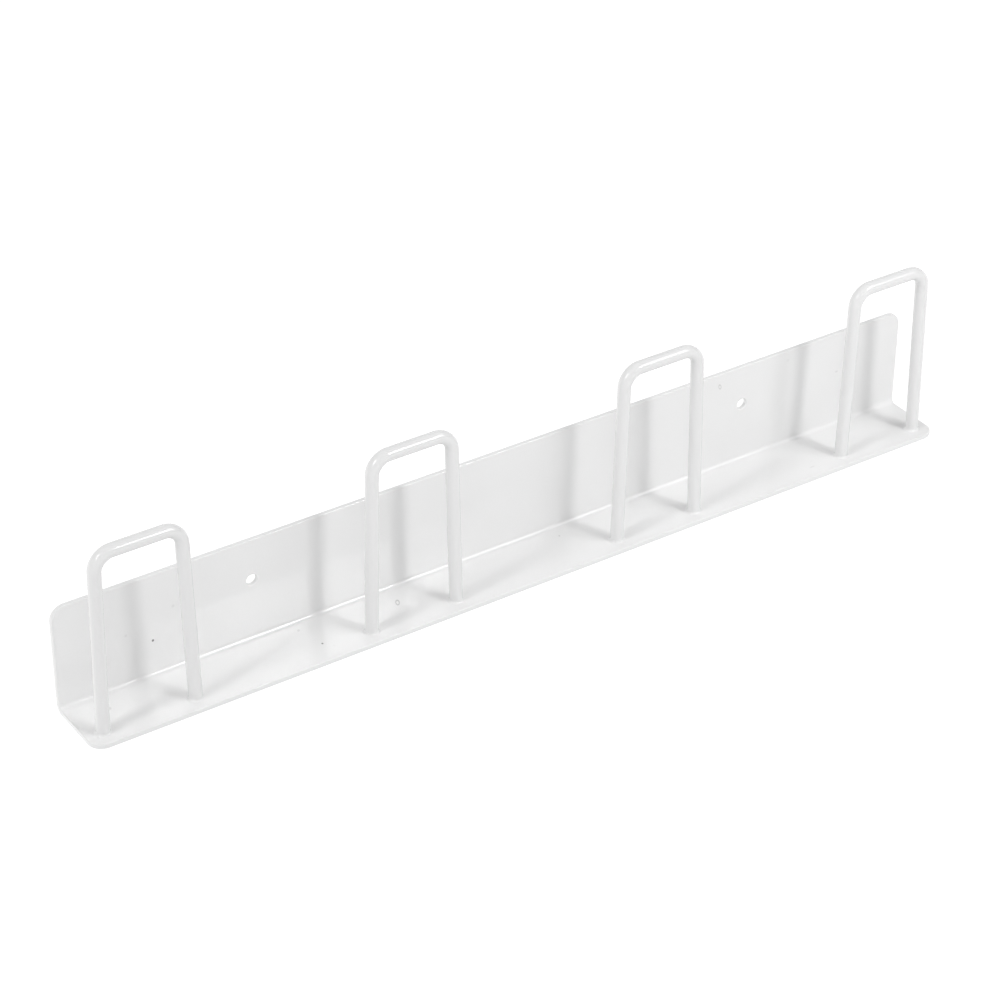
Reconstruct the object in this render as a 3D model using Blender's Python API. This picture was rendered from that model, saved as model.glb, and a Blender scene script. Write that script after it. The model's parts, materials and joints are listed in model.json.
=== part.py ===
"""Cable tray: a bent steel sheet with four rod loops welded along its shelf, powder-coated white.

Frame: +X along the tray, +Y towards the surface that the tray is screwed to, +Z up. The origin is
the middle of the underside, under the centre of the whole object. Lengths are in metres.
"""

import math

import bmesh
import bpy
from mathutils import Vector

MM = 0.001
GAP = 0.3 * MM  # clearance between pieces that the real tray has fused by welding

# The sheet, cut to a blank with round corners and bent once
LENGTH = 600 * MM
DEPTH = 46 * MM
PLATE_HEIGHT = 70 * MM
SHEET = 3 * MM
BEND_INNER_RADIUS = 3 * MM
BEND_STEPS = 8
PLATE_CORNER_RADIUS = 9 * MM
SHELF_CORNER_RADIUS = 9 * MM
CORNER_STEPS = 10
EDGE_ROUNDING = 0.4 * MM

# The two screw holes in the upright plate
HOLE_DIAMETER = 7 * MM
HOLE_SPACING = 350 * MM
HOLE_HEIGHT = 43 * MM
HOLE_SIDES = 40

# The loops, each one rod with two bends, standing on the shelf near its front edge
LOOP_COUNT = 4
LOOP_PITCH = 173.5 * MM
FOOT_SPACING = 58 * MM
ROD_DIAMETER = 8 * MM
LOOP_TOP = 123 * MM
LOOP_FROM_PLATE = 32 * MM
LEG_SPLAY = math.radians(1.3)
ROD_BEND_RADIUS = 11 * MM
ROD_BEND_STEPS = 10
ROD_RESOLUTION = 6

# The fillet weld round each foot
WELD_LEG = 1.6 * MM
WELD_TOE = 0.3 * MM
WELD_SIDES = 32
WELD_CURVE_STEPS = 5

# Heights and places that follow from those dimensions
PLATE_FRONT_Y = DEPTH / 2 - SHEET
SHELF_FRONT_Y = -DEPTH / 2
LOOP_Y = PLATE_FRONT_Y - LOOP_FROM_PLATE
ROD_RADIUS = ROD_DIAMETER / 2


def clear_scene():
    for item in list(bpy.data.objects):
        bpy.data.objects.remove(item, do_unlink=True)


def painted_steel(name, colour, roughness):
    """Powder coat: a dielectric skin that hides the steel under it."""
    material = bpy.data.materials.new(name)
    material.use_nodes = True
    shader = material.node_tree.nodes["Principled BSDF"]
    shader.inputs["Base Color"].default_value = (*colour, 1.0)
    shader.inputs["Roughness"].default_value = roughness
    shader.inputs["Metallic"].default_value = 0.0
    return material


def add_object(name, data, material, parent, location=(0, 0, 0)):
    item = bpy.data.objects.new(name, data)
    item.location = location
    item.parent = parent
    data.materials.append(material)
    bpy.context.scene.collection.objects.link(item)
    return item


def hide_helper(item):
    item.hide_render = True
    item.display_type = "WIRE"


def arc(centre, radius, start, end, steps):
    """Points of a round stretch in a plane, both ends included; angles are in degrees."""
    for step in range(steps + 1):
        angle = math.radians(start + (end - start) * step / steps)
        yield centre[0] + radius * math.cos(angle), centre[1] + radius * math.sin(angle)


# ---- The bent sheet -----------------------------------------------------------------------------


def round_ended_flange(radius, reach):
    """Outline of one flange of the blank: x along the tray, and the distance from the bend line."""
    half = LENGTH / 2
    outline = [(half, 0.0)]
    outline += arc((half - radius, reach - radius), radius, 0, 90, CORNER_STEPS)
    outline += arc((radius - half, reach - radius), radius, 90, 180, CORNER_STEPS)
    outline.append((-half, 0.0))
    return outline


def bent_surface():
    """The inner face of the sheet: the plate's front, the round of the bend and the shelf's top."""
    mesh = bpy.data.meshes.new("sheet_tray")
    shape = bmesh.new()
    plate_start = SHEET + BEND_INNER_RADIUS
    shelf_start = PLATE_FRONT_Y - BEND_INNER_RADIUS

    plate = round_ended_flange(PLATE_CORNER_RADIUS, PLATE_HEIGHT - plate_start)
    plate_points = [shape.verts.new((x, PLATE_FRONT_Y, plate_start + out)) for x, out in plate]
    shelf = round_ended_flange(SHELF_CORNER_RADIUS, shelf_start - SHELF_FRONT_Y)
    shelf_points = [shape.verts.new((x, shelf_start - out, SHEET)) for x, out in shelf]
    shape.faces.new(plate_points)
    shape.faces.new(reversed(shelf_points))

    bend_centre = (shelf_start, plate_start)
    bend = list(arc(bend_centre, BEND_INNER_RADIUS, 0, -90, BEND_STEPS))[1:-1]
    rows = [(plate_points[0], plate_points[-1])]
    for y, z in bend:
        rows.append((shape.verts.new((LENGTH / 2, y, z)), shape.verts.new((-LENGTH / 2, y, z))))
    rows.append((shelf_points[0], shelf_points[-1]))
    for (right, left), (next_right, next_left) in zip(rows, rows[1:]):
        shape.faces.new((right, left, next_left, next_right))

    bmesh.ops.recalc_face_normals(shape, faces=shape.faces)
    shape.faces.ensure_lookup_table()
    if shape.faces[0].normal.y > 0:
        bmesh.ops.reverse_faces(shape, faces=shape.faces)
    shape.to_mesh(mesh)
    shape.free()
    mesh.shade_smooth()
    return mesh


def hole_cutter(name, x, parent):
    mesh = bpy.data.meshes.new(name)
    shape = bmesh.new()
    radius = HOLE_DIAMETER / 2
    bmesh.ops.create_cone(
        shape, cap_ends=True, segments=HOLE_SIDES, radius1=radius, radius2=radius, depth=4 * SHEET
    )
    shape.to_mesh(mesh)
    shape.free()
    mesh.shade_smooth()
    cutter = bpy.data.objects.new(name, mesh)
    cutter.location = (x, PLATE_FRONT_Y + SHEET / 2, HOLE_HEIGHT)
    cutter.rotation_euler = (math.radians(90), 0, 0)
    cutter.parent = parent
    bpy.context.scene.collection.objects.link(cutter)
    hide_helper(cutter)
    return cutter


def make_sheet(material, parent):
    sheet = add_object("sheet_tray", bent_surface(), material, parent)

    thickness = sheet.modifiers.new("Sheet thickness", "SOLIDIFY")
    thickness.thickness = SHEET
    thickness.offset = -1.0
    thickness.use_even_offset = True

    for side, x in (("left", -HOLE_SPACING / 2), ("right", HOLE_SPACING / 2)):
        drill = sheet.modifiers.new("Screw hole " + side, "BOOLEAN")
        drill.operation = "DIFFERENCE"
        drill.solver = "EXACT"
        drill.object = hole_cutter("screw_hole_cutter_" + side, x, parent)

    edges = sheet.modifiers.new("Rounded edges", "BEVEL")
    edges.width = EDGE_ROUNDING
    edges.segments = 2
    edges.limit_method = "ANGLE"
    edges.angle_limit = math.radians(40)
    edges.harden_normals = True
    return sheet


# ---- The rod loops ------------------------------------------------------------------------------


def loop_centre_line():
    """Points (x, z) up the left leg, over the top and down the right leg, seen from the front.

    Each leg leans inwards by LEG_SPLAY, so each bend turns the rod by a little under 90 degrees.
    """
    foot_z = SHEET + GAP
    bar_z = LOOP_TOP - ROD_RADIUS
    lean = math.tan(LEG_SPLAY)
    bend_turn = math.pi / 2 - LEG_SPLAY
    setback = ROD_BEND_RADIUS * math.tan(bend_turn / 2)

    foot_x = FOOT_SPACING / 2 - GAP * lean
    corner_x = FOOT_SPACING / 2 - (bar_z - SHEET) * lean
    centre = (corner_x - setback, bar_z - ROD_BEND_RADIUS)
    right_bend = list(
        arc(centre, ROD_BEND_RADIUS, 90, math.degrees(LEG_SPLAY), ROD_BEND_STEPS)
    )
    right_half = right_bend + [(foot_x, foot_z)]
    left_half = [(-x, z) for x, z in reversed(right_half)]
    return left_half + right_half


def make_loop(name, x, material, parent):
    """One bent rod, drawn as a curve with a round section and closed ends."""
    rod = bpy.data.curves.new(name, "CURVE")
    rod.dimensions = "3D"
    rod.bevel_depth = ROD_RADIUS
    rod.bevel_resolution = ROD_RESOLUTION
    rod.use_fill_caps = True
    points = loop_centre_line()
    line = rod.splines.new("POLY")
    line.points.add(len(points) - 1)
    for point, (along, up) in zip(line.points, points):
        point.co = (along, 0.0, up, 1.0)
    return add_object(name, rod, material, parent, (x, LOOP_Y, 0))


# ---- The welds ----------------------------------------------------------------------------------


def weld_section():
    """Half section of a fillet weld: radius from the foot's axis, and height over the shelf."""
    inner = ROD_RADIUS + GAP
    base = GAP
    outer = inner + WELD_LEG
    top = base + WELD_LEG
    hollow = WELD_LEG - WELD_TOE
    face = arc((outer, top), hollow, 270, 180, WELD_CURVE_STEPS)
    return [(inner, base), (outer, base), *face, (inner, top)]


def weld_mesh():
    """A ring of weld metal round a rod's foot, turned from its section about the foot's axis."""
    mesh = bpy.data.meshes.new("foot_weld")
    shape = bmesh.new()
    section = [shape.verts.new((radius, 0.0, height)) for radius, height in weld_section()]
    edges = [shape.edges.new(pair) for pair in zip(section, section[1:] + section[:1])]
    bmesh.ops.spin(
        shape,
        geom=section + edges,
        cent=Vector((0, 0, 0)),
        axis=Vector((0, 0, 1)),
        angle=2 * math.pi,
        steps=WELD_SIDES,
        use_merge=True,
    )
    bmesh.ops.remove_doubles(shape, verts=shape.verts, dist=1e-6)
    bmesh.ops.recalc_face_normals(shape, faces=shape.faces)
    shape.to_mesh(mesh)
    shape.free()
    mesh.shade_smooth()
    mesh.set_sharp_from_angle(angle=math.radians(50))
    return mesh


def make_welds(number, loop_x, mesh, material, parent):
    for side, sign in (("left", -1), ("right", 1)):
        name = f"weld_{number}_{side}"
        place = (loop_x + sign * FOOT_SPACING / 2, LOOP_Y, SHEET)
        weld = bpy.data.objects.new(name, mesh)
        weld.location = place
        weld.parent = parent
        bpy.context.scene.collection.objects.link(weld)
    if not mesh.materials:
        mesh.materials.append(material)


def main():
    clear_scene()
    tray = bpy.data.objects.new("cable_tray", None)
    bpy.context.scene.collection.objects.link(tray)

    sheet_coat = painted_steel("sheet_powder_coat", (0.83, 0.83, 0.83), 0.38)
    rod_coat = painted_steel("rod_powder_coat", (0.83, 0.83, 0.83), 0.32)
    weld_coat = painted_steel("weld_powder_coat", (0.81, 0.81, 0.81), 0.42)

    make_sheet(sheet_coat, tray)
    ring = weld_mesh()
    for index in range(LOOP_COUNT):
        x = (index - (LOOP_COUNT - 1) / 2) * LOOP_PITCH
        make_loop(f"loop_{index + 1}", x, rod_coat, tray)
        make_welds(index + 1, x, ring, weld_coat, tray)


main()
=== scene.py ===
"""Looks of the cable tray: a bent sheet with four welded rod loops, all under one white powder coat.

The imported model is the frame. Every piece here is a finer copy of one CAD node, built at the place
that the frame gives, with the same axes: +X along the tray, +Y towards the surface that the tray is
screwed to, +Z up. The origin is under the middle of the tray. Lengths are in metres.
"""

import json
import math

import bmesh
import bpy
from mathutils import Matrix, Vector, noise


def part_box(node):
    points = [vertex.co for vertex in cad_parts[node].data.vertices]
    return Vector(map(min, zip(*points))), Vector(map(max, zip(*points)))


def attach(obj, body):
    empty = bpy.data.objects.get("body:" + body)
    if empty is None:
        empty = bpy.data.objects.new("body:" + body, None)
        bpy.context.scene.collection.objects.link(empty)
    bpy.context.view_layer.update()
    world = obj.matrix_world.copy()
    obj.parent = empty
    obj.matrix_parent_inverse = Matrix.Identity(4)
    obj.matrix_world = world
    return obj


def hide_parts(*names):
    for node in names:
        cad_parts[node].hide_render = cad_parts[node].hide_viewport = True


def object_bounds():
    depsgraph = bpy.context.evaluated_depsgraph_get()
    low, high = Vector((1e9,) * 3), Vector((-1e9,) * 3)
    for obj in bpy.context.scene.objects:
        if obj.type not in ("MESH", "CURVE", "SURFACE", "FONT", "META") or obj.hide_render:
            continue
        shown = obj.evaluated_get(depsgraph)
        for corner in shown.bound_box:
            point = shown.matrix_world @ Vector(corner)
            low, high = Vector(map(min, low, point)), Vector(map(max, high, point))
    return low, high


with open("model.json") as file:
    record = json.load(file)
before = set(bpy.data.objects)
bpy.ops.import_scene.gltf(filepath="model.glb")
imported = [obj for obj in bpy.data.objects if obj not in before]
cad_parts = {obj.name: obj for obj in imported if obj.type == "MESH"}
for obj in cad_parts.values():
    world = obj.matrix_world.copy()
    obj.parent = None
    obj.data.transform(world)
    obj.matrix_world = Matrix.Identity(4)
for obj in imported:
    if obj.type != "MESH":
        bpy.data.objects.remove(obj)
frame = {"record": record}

MM = 0.001
CAD_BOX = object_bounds()

# What the frame says: the sheet's outside, the screw holes, the loops and their feet
SHEET_LOW, SHEET_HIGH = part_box("sheet_tray")
LOOP_NUMBERS = (1, 2, 3, 4)
MOUNTS = {mount["name"]: mount for mount in frame["record"]["mounts"]}
GAP = 0.3 * MM  # the CAD solids stand this far apart where the steel is fused
SHELF_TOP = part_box("weld_1_left")[0].z - GAP
SHEET = SHELF_TOP - SHEET_LOW.z
PLATE_FRONT_Y = SHEET_HIGH.y - SHEET

# The sheet's finer shape
BEND_INNER_RADIUS = 3 * MM
BEND_STEPS = 24
CORNER_RADIUS = 9 * MM
CORNER_STEPS = 28
COATED_EDGE = 0.6 * MM
COATED_EDGE_SEGMENTS = 5
COATED_EDGE_ANGLE = math.radians(40)  # edges that turn more than this are rounded
HOLE_DIAMETER = 7 * MM
HOLE_ABOVE_MOUNT = 10 * MM
HOLE_SIDES = 72
CUTTER_LENGTH = 4 * SHEET

# The rods' finer shape
LEG_SPLAY = math.radians(1.3)
ROD_SIDES = 56
ROD_BEND_RADIUS = 11 * MM
ROD_BEND_STEPS = 28
BEND_FLATTENING = 0.035
BEND_WIDENING = 0.02
LEG_STEPS = 10
BAR_STEPS = 6
ROD_END_ANGLE = math.radians(50)  # edges that turn more than this stay sharp

# The welds' finer shape
WELD_TURNS = 120
WELD_PROFILE_STEPS = 9
WELD_LEG = 1.5 * MM
WELD_SINK = 0.15 * MM
WELD_TOE = 0.06 * MM
WELD_EDGE_ANGLE = math.radians(60)  # edges that turn more than this stay sharp

# The welds' unevenness: how closely it comes round the foot, where each noise is read, how far it
# moves the weld's edge as shares of the weld's leg, and what sets each weld apart from the others
SLOW_WAVES, LUMP_WAVES, RIPPLES = 0.9, 3.2, 22
SLOW_PLACE, LUMP_PLACE = 3.1, 7.7
SLOW_SHARE_OUT, LUMP_SHARE_OUT = 0.35, 0.18
SLOW_SHARE_UP, LUMP_SHARE_UP = -0.2, 0.3
RIPPLE_SHARE = 0.03
HEIGHT_TO_REACH = 0.9
LOOP_SEED = 10.0
FOOT_SEEDS = {"left": 3.7, "right": 8.3}


def add_object(name, mesh, material):
    item = bpy.data.objects.new(name, mesh)
    bpy.context.scene.collection.objects.link(item)
    mesh.materials.clear()
    mesh.materials.append(material)
    return item


def stand_for(piece, node):
    """The piece moves with the tray and hides its CAD node."""
    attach(piece, "root")
    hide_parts(node)


def arc(centre, radius, start, end, steps):
    """Points of a round stretch in a plane, both ends included; angles are in degrees."""
    for step in range(steps + 1):
        angle = math.radians(start + (end - start) * step / steps)
        yield centre[0] + radius * math.cos(angle), centre[1] + radius * math.sin(angle)


# ---- Materials ----------------------------------------------------------------------------------

# Dust and bubbles baked into the sheet's coat. Each has its middle in mm, its half sizes along x, y
# and z in mm, its turn about the face's normal in degrees, and how far it darkens the coat. A crater
# is a ring round a paler middle.
DARK_SPECKS = (
    ((-239.6, 20.0, 26.3), (0.7, 2.0, 0.75), 0, 0.75),
    ((-145.7, -6.7, 3.0), (0.55, 0.75, 2.0), 0, 0.6),
    ((-225.7, 20.0, 44.5), (0.9, 2.0, 1.0), 0, 0.08),
    ((250.6, 20.0, 41.8), (1.0, 2.0, 0.7), 0, 0.1),
    ((-256.0, 20.0, 36.0), (0.8, 2.0, 0.8), 0, 0.07),
    ((210.0, 20.0, 63.0), (1.2, 2.0, 1.0), 0, 0.04),
    ((-276.0, 5.3, 3.0), (0.8, 1.2, 2.0), 30, 0.12),
    ((-150.6, 11.9, 3.0), (0.8, 1.2, 2.0), 30, 0.13),
    ((-141.1, -12.1, 3.0), (0.8, 1.0, 2.0), 0, 0.03),
    ((31.0, 10.0, 3.0), (0.6, 0.9, 2.0), 30, 0.15),
    ((207.5, -13.2, 3.0), (1.9, 0.6, 2.0), 0, 0.08),
)
CRATERS = (
    ((-88.0, 4.3, 3.0), (1.24, 2.8, 2.0), 27, 0.36),
    ((157.1, 20.0, 61.2), (1.0, 2.0, 1.9), 18, 0.24),
)
CRATER_MIDDLE = 0.62  # size of the paler middle, as a share of the crater
SPOT_FADE = (0.7, 1.3)  # where a spot's edge starts and ends, as shares of its half size
SPECK_RELIEF = 0.04 * MM
SPECK_HEIGHT = 0.3  # a share of the relief, as is the crater ring's
CRATER_HEIGHT = -1.0

# The powder coat: scales are noise waves in a metre, drifts go both ways from the mean
COAT_IOR = 1.62
DRIFT_SCALE, DRIFT = 14.0, 0.010
GRAIN_SCALE, GRAIN = 900.0, 0.006
GLOSS_SCALE, GLOSS_DRIFT = 60.0, 0.03
PEEL_SCALE, PEEL_DETAIL, PEEL_ROUGHNESS = 420.0, 1.5, 0.45
NOISE_LOW, NOISE_HIGH = 0.3, 0.7  # nearly all of a noise texture's values lie between these


class Nodes:
    """A short way to add and link shader nodes."""

    def __init__(self, owner):
        self.tree = owner.node_tree

    def add(self, kind, inputs=(), **settings):
        node = self.tree.nodes.new(kind)
        for name, value in settings.items():
            setattr(node, name, value)
        for key, value in dict(inputs).items():
            if isinstance(value, bpy.types.NodeSocket):
                self.tree.links.new(value, node.inputs[key])
            else:
                node.inputs[key].default_value = value
        return node

    def maths(self, operation, *values):
        inputs = dict(enumerate(values))
        return self.add("ShaderNodeMath", inputs, operation=operation).outputs[0]

    def map_range(self, value, start, end, low, high, **settings):
        """Low where the value is at start or before it, high from end on, and between in between."""
        inputs = {"Value": value, 1: start, 2: end, 3: low, 4: high}
        return self.add("ShaderNodeMapRange", inputs, **settings).outputs["Result"]

    def noise(self, place, scale, detail, low, high):
        """Noise of about `scale` waves in a metre, as a value from low to high."""
        inputs = {"Vector": place, "Scale": scale, "Detail": detail}
        waves = self.add("ShaderNodeTexNoise", inputs).outputs["Fac"]
        return self.map_range(waves, NOISE_LOW, NOISE_HIGH, low, high)


def blot(nodes, place, middle, half_sizes, turn, share=1.0):
    """1 inside a small soft-edged oval at that middle, 0 outside; share shrinks the oval."""
    on_plate = middle[2] > 2 * SHELF_TOP / MM
    turned = (0.0, -math.radians(turn), 0.0) if on_plate else (0.0, 0.0, -math.radians(turn))
    oval = nodes.add(
        "ShaderNodeMapping",
        {
            "Vector": place,
            "Location": tuple(value * MM for value in middle),
            "Rotation": turned,
            "Scale": tuple(size * share * MM for size in half_sizes),
        },
        vector_type="TEXTURE",
    ).outputs["Vector"]
    distance = nodes.add("ShaderNodeVectorMath", {0: oval}, operation="LENGTH").outputs["Value"]
    return nodes.map_range(distance, *SPOT_FADE, 1.0, 0.0, interpolation_type="SMOOTHSTEP")


def specks(nodes, place):
    """How much the specks and crater rings darken the coat, and how high they stand."""
    dark = 0.0
    height = 0.0
    for middle, sizes, turn, depth in DARK_SPECKS:
        spot = blot(nodes, place, middle, sizes, turn)
        dark = nodes.maths("MULTIPLY_ADD", spot, depth, dark)
        height = nodes.maths("MULTIPLY_ADD", spot, SPECK_HEIGHT, height)
    for middle, sizes, turn, depth in CRATERS:
        outer = blot(nodes, place, middle, sizes, turn)
        inner = blot(nodes, place, middle, sizes, turn, CRATER_MIDDLE)
        ring = nodes.maths("SUBTRACT", outer, inner)
        dark = nodes.maths("MULTIPLY_ADD", ring, depth, dark)
        height = nodes.maths("MULTIPLY_ADD", ring, CRATER_HEIGHT, height)
    return dark, height


def powder_coat(name, tone, roughness, peel, speckled=False):
    """White powder coat: orange peel, and tone and gloss that drift a little over the surface."""
    material = bpy.data.materials.new(name)
    material.use_nodes = True
    nodes = Nodes(material)
    shader = material.node_tree.nodes["Principled BSDF"]
    shader.inputs["IOR"].default_value = COAT_IOR
    place = nodes.add("ShaderNodeTexCoord").outputs["Object"]

    drift = nodes.noise(place, DRIFT_SCALE, detail=2.0, low=-DRIFT, high=DRIFT)
    grain = nodes.noise(place, GRAIN_SCALE, detail=2.0, low=-GRAIN, high=GRAIN)
    value = nodes.maths("ADD", nodes.maths("ADD", drift, grain), tone)
    waves = {
        "Vector": place,
        "Scale": PEEL_SCALE,
        "Detail": PEEL_DETAIL,
        "Roughness": PEEL_ROUGHNESS,
    }
    height = nodes.add("ShaderNodeTexNoise", waves).outputs["Fac"]
    if speckled:
        dark, relief = specks(nodes, place)
        value = nodes.maths("SUBTRACT", value, dark)
        height = nodes.maths("MULTIPLY_ADD", relief, SPECK_RELIEF / peel, height)
    colour = nodes.add("ShaderNodeCombineColor", {0: value, 1: value, 2: value}).outputs[0]
    nodes.tree.links.new(colour, shader.inputs["Base Color"])

    low_gloss, high_gloss = roughness - GLOSS_DRIFT, roughness + GLOSS_DRIFT
    gloss = nodes.noise(place, GLOSS_SCALE, detail=3.0, low=low_gloss, high=high_gloss)
    nodes.tree.links.new(gloss, shader.inputs["Roughness"])
    bump = nodes.add("ShaderNodeBump", {"Height": height, "Distance": peel, "Strength": 1.0})
    nodes.tree.links.new(bump.outputs["Normal"], shader.inputs["Normal"])
    return material


# ---- The bent sheet -----------------------------------------------------------------------------


def round_ended_flange(reach):
    """Outline of one flange of the blank: x along the tray, and the distance from the bend line."""
    low, high = SHEET_LOW.x, SHEET_HIGH.x
    radius = CORNER_RADIUS
    outline = [(high, 0.0)]
    outline += arc((high - radius, reach - radius), radius, 0, 90, CORNER_STEPS)
    outline += arc((low + radius, reach - radius), radius, 90, 180, CORNER_STEPS)
    outline.append((low, 0.0))
    return outline


def bent_surface():
    """The inner face of the sheet: the plate's front, the round of the bend and the shelf's top."""
    shape = bmesh.new()
    plate_start = SHELF_TOP + BEND_INNER_RADIUS
    shelf_start = PLATE_FRONT_Y - BEND_INNER_RADIUS
    plate = [
        shape.verts.new((x, PLATE_FRONT_Y, plate_start + out))
        for x, out in round_ended_flange(SHEET_HIGH.z - plate_start)
    ]
    shelf = [
        shape.verts.new((x, shelf_start - out, SHELF_TOP))
        for x, out in round_ended_flange(shelf_start - SHEET_LOW.y)
    ]
    shape.faces.new(plate)
    shape.faces.new(reversed(shelf))

    bend = list(arc((shelf_start, plate_start), BEND_INNER_RADIUS, 0, -90, BEND_STEPS))[1:-1]
    rows = [(plate[0], plate[-1])]
    for y, z in bend:
        ends = [shape.verts.new((x, y, z)) for x in (SHEET_HIGH.x, SHEET_LOW.x)]
        rows.append(tuple(ends))
    rows.append((shelf[0], shelf[-1]))
    for (right, left), (next_right, next_left) in zip(rows, rows[1:]):
        shape.faces.new((right, left, next_left, next_right))

    bmesh.ops.recalc_face_normals(shape, faces=shape.faces)
    shape.faces.ensure_lookup_table()
    if shape.faces[0].normal.y > 0:
        bmesh.ops.reverse_faces(shape, faces=shape.faces)
    mesh = bpy.data.meshes.new("bent_surface")
    shape.to_mesh(mesh)
    shape.free()
    mesh.shade_smooth()
    return mesh


def hole_cutter(mount):
    shape = bmesh.new()
    radius = HOLE_DIAMETER / 2
    bmesh.ops.create_cone(
        shape,
        cap_ends=True,
        segments=HOLE_SIDES,
        radius1=radius,
        radius2=radius,
        depth=CUTTER_LENGTH,
    )
    mesh = bpy.data.meshes.new("hole_cutter")
    shape.to_mesh(mesh)
    shape.free()
    mesh.shade_smooth()
    cutter = bpy.data.objects.new("hole_cutter", mesh)
    x, y, z = mount["pos_m"]
    cutter.location = (x, y, z + HOLE_ABOVE_MOUNT)
    cutter.rotation_euler = (math.radians(90), 0, 0)
    bpy.context.scene.collection.objects.link(cutter)
    return cutter


def make_sheet(material):
    draft = add_object("sheet_draft", bent_surface(), material)
    thickness = draft.modifiers.new("Sheet thickness", "SOLIDIFY")
    thickness.thickness = SHEET
    thickness.offset = -1.0
    thickness.use_even_offset = True

    cutters = [hole_cutter(MOUNTS[name]) for name in ("screw_left", "screw_right")]
    for cutter in cutters:
        drill = draft.modifiers.new("Screw hole", "BOOLEAN")
        drill.operation = "DIFFERENCE"
        drill.solver = "EXACT"
        drill.object = cutter

    edges = draft.modifiers.new("Coated edges", "BEVEL")
    edges.width = COATED_EDGE
    edges.segments = COATED_EDGE_SEGMENTS
    edges.limit_method = "ANGLE"
    edges.angle_limit = COATED_EDGE_ANGLE
    edges.harden_normals = True

    graph = bpy.context.evaluated_depsgraph_get()
    finished = bpy.data.meshes.new_from_object(draft.evaluated_get(graph), depsgraph=graph)
    finished.name = "coated_sheet"
    for helper in (draft, *cutters):
        bpy.data.objects.remove(helper, do_unlink=True)
    sheet = add_object("coated_sheet", finished, material)
    stand_for(sheet, "sheet_tray")


# ---- The rod loops ------------------------------------------------------------------------------


def loop_shape(number):
    """Middle, half the foot spacing, rod radius and bar height of a loop, from its CAD nodes."""
    low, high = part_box(f"loop_{number}")
    feet = []
    for side in ("left", "right"):
        foot_low, foot_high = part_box(f"weld_{number}_{side}")
        feet.append((foot_low + foot_high) / 2)
    radius = (high.y - low.y) / 2
    return {
        "x": (feet[0].x + feet[1].x) / 2,
        "y": (low.y + high.y) / 2,
        "half": (feet[1].x - feet[0].x) / 2,
        "radius": radius,
        "bar_z": high.z - radius,
    }


def spread(start, end, steps):
    """Points between two ends, both included."""
    for step in range(steps + 1):
        share = step / steps
        yield tuple(a + (b - a) * share for a, b in zip(start, end))


def centre_line(shape):
    """(x, z, bending) along the rod from the left foot to the right one, seen from the front.

    Bending is 0 on the straight stretches and rises to 1 in the middle of each bend.
    """
    lean = math.tan(LEG_SPLAY)
    turn = math.pi / 2 - LEG_SPLAY
    setback = ROD_BEND_RADIUS * math.tan(turn / 2)
    corner_x = shape["half"] - (shape["bar_z"] - SHELF_TOP) * lean
    centre = (corner_x - setback, shape["bar_z"] - ROD_BEND_RADIUS)

    middle = (0.0, shape["bar_z"])
    bar_end = (centre[0], shape["bar_z"])
    bar = [(x, z, 0.0) for x, z in spread(middle, bar_end, BAR_STEPS)]
    bend = []
    round_points = list(arc(centre, ROD_BEND_RADIUS, 90, math.degrees(LEG_SPLAY), ROD_BEND_STEPS))
    for step, (x, z) in enumerate(round_points):
        bend.append((x, z, math.sin(math.pi * step / ROD_BEND_STEPS)))
    foot = (shape["half"], SHELF_TOP)
    leg = [(x, z, 0.0) for x, z in spread(bend[-1][:2], foot, LEG_STEPS)]
    right_half = bar[:-1] + bend + leg[1:]
    left_half = [(-x, z, bending) for x, z, bending in reversed(right_half[1:])]
    return left_half + right_half


def make_loop(number, material):
    """A rod of round section, a little flattened on the outside of each bend, with closed ends."""
    shape = loop_shape(number)
    points = centre_line(shape)
    body = bmesh.new()
    rings = []
    for index, (x, z, bending) in enumerate(points):
        before = points[max(index - 1, 0)]
        after = points[min(index + 1, len(points) - 1)]
        along = Vector((after[0] - before[0], 0, after[1] - before[1])).normalized()
        outward = Vector((-along.z, 0, along.x))
        ring = []
        for side in range(ROD_SIDES):
            angle = math.tau * side / ROD_SIDES
            out = math.cos(angle) * (1 - BEND_FLATTENING * bending * max(math.cos(angle), 0))
            across = math.sin(angle) * (1 + BEND_WIDENING * bending)
            place = Vector((shape["x"] + x, shape["y"], z))
            place += shape["radius"] * (out * outward + across * Vector((0, 1, 0)))
            ring.append(body.verts.new(place))
        rings.append(ring)
    for ring, following in zip(rings, rings[1:]):
        for side in range(ROD_SIDES):
            other = (side + 1) % ROD_SIDES
            body.faces.new((ring[side], ring[other], following[other], following[side]))
    body.faces.new(rings[0])
    body.faces.new(reversed(rings[-1]))
    bmesh.ops.recalc_face_normals(body, faces=body.faces)
    mesh = bpy.data.meshes.new(f"rod_loop_{number}")
    body.to_mesh(mesh)
    body.free()
    mesh.shade_smooth()
    mesh.set_sharp_from_angle(angle=ROD_END_ANGLE)
    loop = add_object(f"rod_loop_{number}", mesh, material)
    stand_for(loop, f"loop_{number}")


# ---- The welds ----------------------------------------------------------------------------------


def weld_legs(angle, seed):
    """How far the weld reaches out over the shelf and up the rod, at an angle round the foot."""
    around = Vector((math.cos(angle), math.sin(angle), 0.0))
    slow = noise.noise(around * SLOW_WAVES + Vector((seed, SLOW_PLACE, 0.0)))
    lumps = noise.noise(around * LUMP_WAVES + Vector((0.0, seed, LUMP_PLACE)))
    ripple = math.sin(RIPPLES * angle + seed) * RIPPLE_SHARE
    out = WELD_LEG * (1 + SLOW_SHARE_OUT * slow + LUMP_SHARE_OUT * lumps + ripple)
    up = WELD_LEG * (HEIGHT_TO_REACH + LUMP_SHARE_UP * lumps + SLOW_SHARE_UP * slow + ripple)
    return out, up


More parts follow.
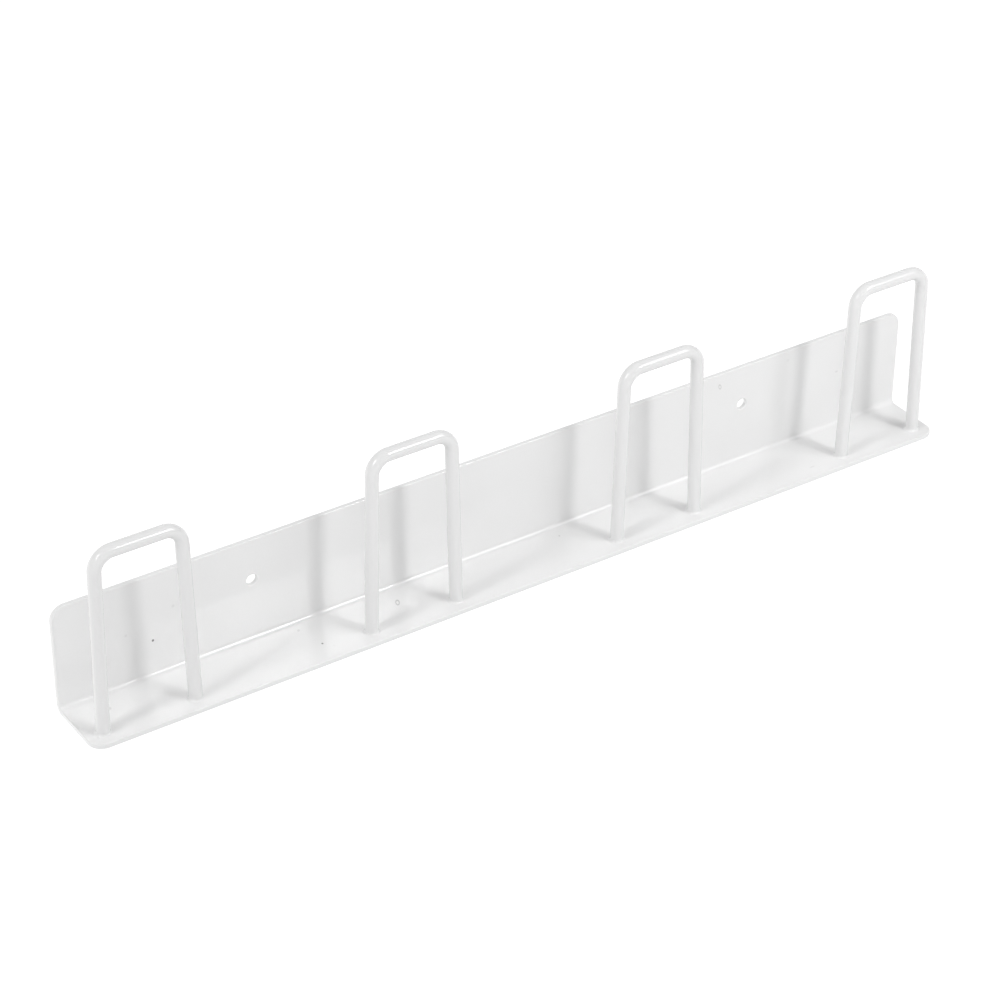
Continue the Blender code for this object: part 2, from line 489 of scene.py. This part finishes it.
def make_weld(number, side, seed, material):
    """A ring of weld metal round a foot, hollow-faced and a little uneven, melted into both parts."""
    node = f"weld_{number}_{side}"
    low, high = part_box(node)
    centre = (low + high) / 2
    inner = loop_shape(number)["radius"] - WELD_SINK
    base = SHELF_TOP - WELD_SINK
    body = bmesh.new()
    rings = []
    for turn in range(WELD_TURNS):
        angle = math.tau * turn / WELD_TURNS
        out, up = weld_legs(angle, seed)
        section = [(inner, base), (inner + WELD_SINK + out, base)]
        for step in range(WELD_PROFILE_STEPS + 1):
            share = math.radians(90) * step / WELD_PROFILE_STEPS
            radius = inner + WELD_SINK + WELD_TOE + (out - WELD_TOE) * (1 - math.sin(share))
            height = SHELF_TOP + WELD_TOE + (up - WELD_TOE) * (1 - math.cos(share))
            section.append((radius, height))
        section.append((inner, section[-1][1]))
        ring = []
        for radius, height in section:
            place = (
                centre.x + radius * math.cos(angle),
                centre.y + radius * math.sin(angle),
                height,
            )
            ring.append(body.verts.new(place))
        rings.append(ring)
    for ring, following in zip(rings, rings[1:] + rings[:1]):
        for step in range(len(ring)):
            other = (step + 1) % len(ring)
            body.faces.new((ring[step], ring[other], following[other], following[step]))
    bmesh.ops.recalc_face_normals(body, faces=body.faces)
    mesh = bpy.data.meshes.new(f"foot_weld_{number}_{side}")
    body.to_mesh(mesh)
    body.free()
    mesh.shade_smooth()
    mesh.set_sharp_from_angle(angle=WELD_EDGE_ANGLE)
    weld = add_object(f"foot_weld_{number}_{side}", mesh, material)
    stand_for(weld, node)


# ---- Floor, light and camera --------------------------------------------------------------------

FLOOR_SIZE = 12.0
FLOOR_GLOW = 0.92
FLOOR_TONE = 0.2

# The white room's light from everywhere, and the sides it is lighter at: axis, side of it, and how
# much at most. The lighter side below stands for the floor's bounce.
WORLD_LIGHT = 0.31
SIDE_LIGHTS = (
    ("Z", -1.0, 0.62),
    ("X", -1.0, 0.34),
    ("Y", 1.0, 0.31),
)
SIDE_LIGHT_POWER = 2.0  # how closely each keeps to its side

# Soft boxes: name, place, width and height, power in watts
SOFT_BOXES = (
    ("soft_box_front", (1.012, -2.16, 1.80), (0.45, 0.6), 16.4),
    ("soft_box_near", (0.9, -1.2, 1.1), (0.8, 0.8), 3.0),
    ("soft_box_low", (0.72, -0.8, 0.92), (0.6, 0.6), 3.4),
    ("soft_box_left", (-1.70, -0.27, 1.55), (0.4, 0.8), 11.0),
)
LIGHT_AIM = (0.0, 0.0, 0.05)

CAMERA_AZIMUTH = math.radians(-33.874)
CAMERA_ELEVATION = math.radians(33.017)
CAMERA_ROLL = math.radians(0.246)
CAMERA_DISTANCE = 1.7824
CAMERA_AIM = Vector((-0.01902, 0.0, 0.05213))
CAMERA_LENS = 109.60
SENSOR_WIDTH = 36.0


def make_floor():
    mesh = bpy.data.meshes.new("floor")
    shape = bmesh.new()
    bmesh.ops.create_grid(shape, x_segments=1, y_segments=1, size=FLOOR_SIZE / 2)
    shape.to_mesh(mesh)
    shape.free()
    material = bpy.data.materials.new("floor")
    material.use_nodes = True
    shader = material.node_tree.nodes["Principled BSDF"]
    shader.inputs["Base Color"].default_value = (FLOOR_TONE,) * 3 + (1.0,)
    shader.inputs["Roughness"].default_value = 1.0
    shader.inputs["Specular IOR Level"].default_value = 0.0
    shader.inputs["Emission Color"].default_value = (1.0, 1.0, 1.0, 1.0)
    shader.inputs["Emission Strength"].default_value = FLOOR_GLOW
    floor = add_object("floor", mesh, material)
    floor.location.z = CAD_BOX[0].z
    floor.visible_diffuse = False


def soft_box(name, place, aim, size, power):
    light = bpy.data.lights.new(name, "AREA")
    light.shape = "RECTANGLE"
    light.size, light.size_y = size
    light.energy = power
    lamp = bpy.data.objects.new(name, light)
    lamp.location = place
    lamp.rotation_mode = "QUATERNION"
    lamp.rotation_quaternion = (Vector(aim) - Vector(place)).to_track_quat("-Z", "Y")
    bpy.context.scene.collection.objects.link(lamp)


def make_lights():
    for name, place, size, power in SOFT_BOXES:
        soft_box(name, place, LIGHT_AIM, size, power)
    make_world()
    bpy.context.scene.view_settings.view_transform = "Standard"


def make_world():
    """A white room, lighter from below, where a pale floor lies, from the left and from behind."""
    world = bpy.data.worlds.new("white_room")
    world.use_nodes = True
    nodes = Nodes(world)
    background = world.node_tree.nodes["Background"]
    background.inputs["Color"].default_value = (1.0, 1.0, 1.0, 1.0)
    direction = nodes.add("ShaderNodeTexCoord").outputs["Generated"]
    split = nodes.add("ShaderNodeSeparateXYZ", {0: direction})
    strength = WORLD_LIGHT
    for axis, facing, share in SIDE_LIGHTS:
        towards = nodes.map_range(split.outputs[axis], -facing, facing, 0.0, 1.0)
        lobe = nodes.maths("POWER", towards, SIDE_LIGHT_POWER)
        strength = nodes.maths("MULTIPLY_ADD", lobe, share, strength)
    nodes.tree.links.new(strength, background.inputs["Strength"])
    bpy.context.scene.world = world


def make_camera():
    back = Vector((
        math.sin(CAMERA_AZIMUTH) * math.cos(CAMERA_ELEVATION),
        -math.cos(CAMERA_AZIMUTH) * math.cos(CAMERA_ELEVATION),
        math.sin(CAMERA_ELEVATION),
    ))
    data = bpy.data.cameras.new("camera")
    data.lens = CAMERA_LENS
    data.sensor_width = SENSOR_WIDTH
    camera = bpy.data.objects.new("camera", data)
    turn = (-back).to_track_quat("-Z", "Y").to_matrix().to_4x4()
    roll = Matrix.Rotation(CAMERA_ROLL, 4, "Z")
    camera.matrix_world = Matrix.Translation(CAMERA_AIM + CAMERA_DISTANCE * back) @ turn @ roll
    bpy.context.scene.collection.objects.link(camera)
    bpy.context.scene.camera = camera


# ---- The whole scene ----------------------------------------------------------------------------

# Each coat: name, tone, roughness and depth of orange peel
sheet_coat = powder_coat("sheet_coat_paint", 0.86, 0.14, 0.02 * MM, speckled=True)
rod_coat = powder_coat("rod_coat_paint", 0.83, 0.13, 0.01 * MM)
weld_coat = powder_coat("weld_coat_paint", 0.86, 0.16, 0.02 * MM)

make_sheet(sheet_coat)
for loop_number in LOOP_NUMBERS:
    make_loop(loop_number, rod_coat)
    for foot_side in FOOT_SEEDS:
        weld_seed = LOOP_SEED * loop_number + FOOT_SEEDS[foot_side]
        make_weld(loop_number, foot_side, weld_seed, weld_coat)
make_floor()
make_lights()
make_camera()
